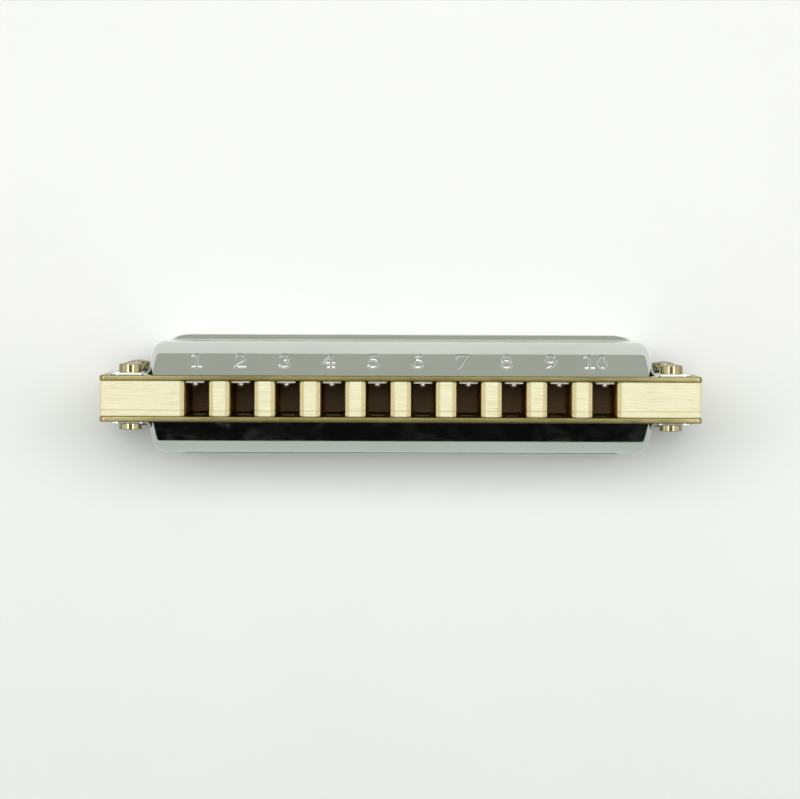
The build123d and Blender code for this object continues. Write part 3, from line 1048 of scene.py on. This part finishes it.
def card(name, corners, colour):
    """A sheet of its own glow, dark or bright, that only mirror-like surfaces see: a painted reflection
    that lights nothing.
    """
    mesh = bpy.data.meshes.new(name)
    mesh.from_pydata(corners, [], [(0, 1, 2, 3)])
    obj = bpy.data.objects.new(name, mesh)
    bpy.context.scene.collection.objects.link(obj)
    material = bpy.data.materials.new(name)
    material.use_nodes = True
    tree = material.node_tree
    tree.nodes.clear()
    glow = tree.nodes.new("ShaderNodeEmission")
    glow.inputs["Color"].default_value = (*colour, 1)
    out = tree.nodes.new("ShaderNodeOutputMaterial")
    tree.links.new(glow.outputs[0], out.inputs["Surface"])
    mesh.materials.append(material)
    obj.visible_camera = obj.visible_diffuse = obj.visible_shadow = False
    obj.visible_transmission = obj.visible_volume_scatter = False


def set_lights():
    world = bpy.data.worlds.new("studio")
    bpy.context.scene.world = world
    world.use_nodes = True
    background = world.node_tree.nodes["Background"]
    background.inputs["Color"].default_value = (0.97, 1.0, 0.96, 1)
    background.inputs["Strength"].default_value = 0.43
    area_light("key", (0.0, 0.15, 0.5), (0, 0, 0), 0.7, 0.26, power=2.1)
    for name, side in (("left_box", -1), ("right_box", 1)):
        area_light(name, (side * 0.62, 0.03, 0.36), (0, 0, 0.02), 0.45, 0.7, power=1.15)
    # Each card's name, then its range in x, y and z, and its colour, which shows only as a painted
    # reflection.
    for name, xs, ys, zs, colour in (
        ("dark_side", (-1, 1), (-0.5, -0.5), (0.002, 0.16), (0.003, 0.003, 0.003)),
        ("grey_side", (-1, 1), (0.6, 0.6), (0.002, 0.22), (0.535, 0.548, 0.49)),
        ("draw_side_floor_glow", (-1, 1), (-0.49, -0.011), (0.001, 0.001), (0.66, 0.71, 0.665)),
        ("rear_overhead", (-0.8, 0.8), (0.25, 0.75), (0.45, 0.45), (1.45, 1.5, 1.45)),
        ("left_overhead", (-0.32, -0.17), (-0.2, 0.12), (0.52, 0.52), (6.0, 5.9, 5.6)),
        ("right_overhead", (0.17, 0.32), (-0.2, 0.12), (0.52, 0.52), (6.0, 5.9, 5.6)),
    ):
        (x0, x1), (y0, y1), (z0, z1) = xs, ys, zs
        card(name, [(x0, y0, z0), (x1, y0, z0), (x1, y1, z1), (x0, y1, z1)], colour)


def set_camera():
    """Straight down into the mouth holes, leaning a little towards the upper cover."""
    distance, lean, roll = 0.572, math.radians(2.0), math.radians(0.20)
    data = bpy.data.cameras.new("camera")
    data.lens, data.sensor_width = 155.9, 36.0
    data.clip_start, data.clip_end = 0.01, 20.0
    camera = bpy.data.objects.new("camera", data)
    bpy.context.scene.collection.objects.link(camera)
    turn = Matrix.Rotation(-lean, 4, "X") @ Matrix.Rotation(roll, 4, "Z")
    aim = Vector((-0.00013, 0.0, TOP * MM))
    camera.matrix_world = Matrix.Translation(aim) @ turn @ Matrix.Translation((0, 0, distance))
    bpy.context.scene.camera = camera


def main():
    bpy.context.scene.view_settings.view_transform = "Standard"
    set_camera()
    set_stage()
    set_lights()
    wood = bamboo_finish("bamboo")
    brass = plate_finish("plate_brass_painted_light")
    strip = reed_finish("reed_brass_bright")
    chrome = chrome_finish("cover_chrome_polished")
    antique = turned_finish(
        "bolt_brass_antique", (0.29, 0.25, 0.14), (0.35, 0.30, 0.17), (0.41, 0.35, 0.21), 0.06
    )
    screw_brass = turned_finish(
        "screw_brass_bright", (0.5, 0.42, 0.2), (0.66, 0.56, 0.3), (0.78, 0.68, 0.4), 0.22
    )
    rivet_metal = turned_finish(
        "rivet_nickel", (0.34, 0.33, 0.30), (0.42, 0.41, 0.38), (0.50, 0.49, 0.46), 0.36
    )
    make_comb(wood)
    for side in (BLOW, DRAW):
        make_plate(side, brass)
        for reed in reeds(side):
            reed.build(strip)
        make_rivets(side, rivet_metal)
        make_cover(side, chrome)
    make_fasteners(antique, screw_brass)


main()
